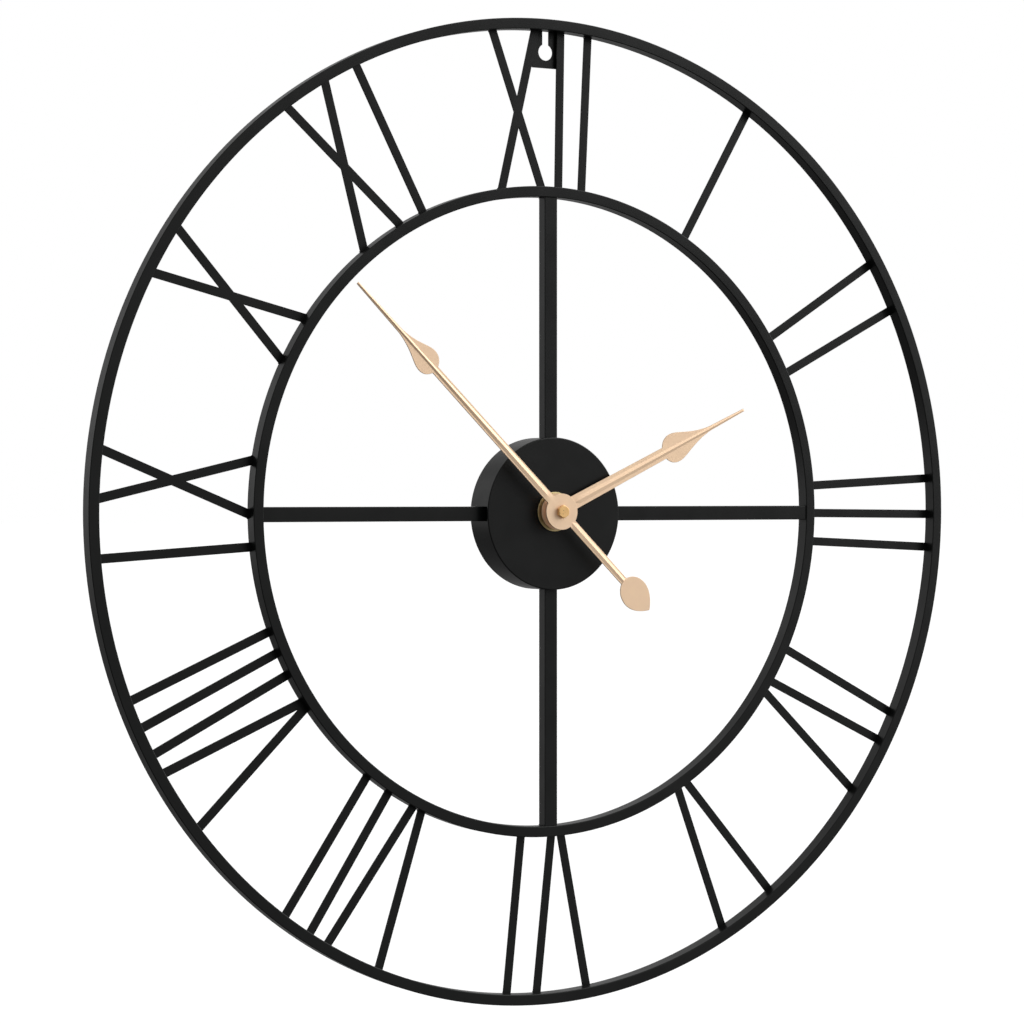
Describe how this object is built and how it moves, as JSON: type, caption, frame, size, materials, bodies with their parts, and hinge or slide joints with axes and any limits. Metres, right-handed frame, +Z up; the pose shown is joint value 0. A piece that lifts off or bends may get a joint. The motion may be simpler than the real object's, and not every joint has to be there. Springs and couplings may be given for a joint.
{
  "type": "wall clock",
  "caption": "Round open-frame wall clock with Roman numeral strips between two rings, spade hands and a quartz movement in a round hub cover.",
  "frame": {"origin": "where the wall screw bears: the centre of the round top end of the keyhole slot, in the back face of the hanger plate", "axes": "+Z up, +X to the viewer's right, +Y into the wall; the dial faces -Y"},
  "size_m": [0.6, 0.0335, 0.6],
  "materials": {
    "powder_coat": "black powder coat, satin",
    "rose_gold": "pale rose-gold satin coat on pressed aluminium",
    "brass": "turned brass",
    "rubber": "black rubber",
    "case_plastic": "black moulded plastic",
    "gear_plastic": "natural acetal",
    "bright_steel": "bright nickel-plated steel",
    "copper_wire": "enamelled copper wire",
    "board": "green circuit board",
    "cell_wrap": "plain printed wrap, no lettering"
  },
  "bodies": {
    "frame": {"outer_ring": "powder_coat", "inner_ring": "powder_coat", "spoke_top": "powder_coat", "spoke_right": "powder_coat", "spoke_bottom": "powder_coat", "spoke_left": "powder_coat", "numeral_i": "powder_coat", "numeral_ii_first": "powder_coat", "numeral_ii_second": "powder_coat", "numeral_iii_first": "powder_coat", "numeral_iii_second": "powder_coat", "numeral_iii_third": "powder_coat", "numeral_iv_i": "powder_coat", "numeral_iv_v_left": "powder_coat", "numeral_iv_v_right": "powder_coat", "numeral_v_left": "powder_coat", "numeral_v_right": "powder_coat", "numeral_vi_v_left": "powder_coat", "numeral_vi_v_right": "powder_coat", "numeral_vi_i": "powder_coat", "numeral_vii_v_left": "powder_coat", "numeral_vii_v_right": "powder_coat", "numeral_vii_i_first": "powder_coat", "numeral_vii_i_second": "powder_coat", "numeral_viii_v": "powder_coat", "numeral_viii_i_first": "powder_coat", "numeral_viii_i_second": "powder_coat", "numeral_viii_i_third": "powder_coat", "numeral_ix_i": "powder_coat", "numeral_ix_x": "powder_coat", "numeral_x": "powder_coat", "numeral_xi_x": "powder_coat", "numeral_xi_i": "powder_coat", "numeral_xii_x": "powder_coat", "numeral_xii_i_first": "powder_coat", "numeral_xii_i_second": "powder_coat", "hanger_plate": "powder_coat", "movement_box": "powder_coat", "round_cover": "powder_coat", "cover_spacer": "rubber", "threaded_bush": "brass", "bush_washer": "brass", "bush_nut": "brass", "front_case": "case_plastic", "rear_case": "case_plastic", "contact_positive": "bright_steel", "contact_negative": "bright_steel", "stator": "bright_steel", "coil_bobbin": "gear_plastic", "coil_winding": "copper_wire", "circuit_board": "board"},
    "minute_assembly": {"minute_arbor": "gear_plastic", "minute_hand": "rose_gold", "cap_nut": "brass"},
    "hour_assembly": {"hour_wheel": "gear_plastic", "hour_hand": "rose_gold"},
    "setting_assembly": {"minute_wheel": "gear_plastic", "set_knob": "case_plastic"},
    "rotor_assembly": {"rotor": "bright_steel"},
    "cell": {"aa_cell": "cell_wrap"}
  },
  "joints": [
    {"name": "minute_hand_spin", "type": "hinge", "parent": "frame", "child": "minute_assembly", "pos_m": [-0.003, -0.0253, -0.2938], "axis": [0, 1, 0], "continuous": true},
    {"name": "hour_hand_spin", "type": "hinge", "parent": "frame", "child": "hour_assembly", "pos_m": [-0.003, -0.02, -0.2938], "axis": [0, 1, 0], "continuous": true},
    {"name": "set_knob_spin", "type": "hinge", "parent": "frame", "child": "setting_assembly", "pos_m": [0.00739, 0.0037, -0.2878], "axis": [0, 1, 0], "continuous": true},
    {"name": "rotor_spin", "type": "hinge", "parent": "frame", "child": "rotor_assembly", "pos_m": [-0.011, -0.0037, -0.2826], "axis": [0, 1, 0], "continuous": true},
    {"name": "cell_slide", "type": "slide", "parent": "frame", "child": "cell", "axis": [0, 1, 0], "range_m": [0, 0.018]}
  ],
  "couplings": [
    {"joint": "hour_hand_spin", "follows": "minute_hand_spin", "ratio": 0.083333},
    {"joint": "set_knob_spin", "follows": "minute_hand_spin", "ratio": -0.33333}
  ]
}
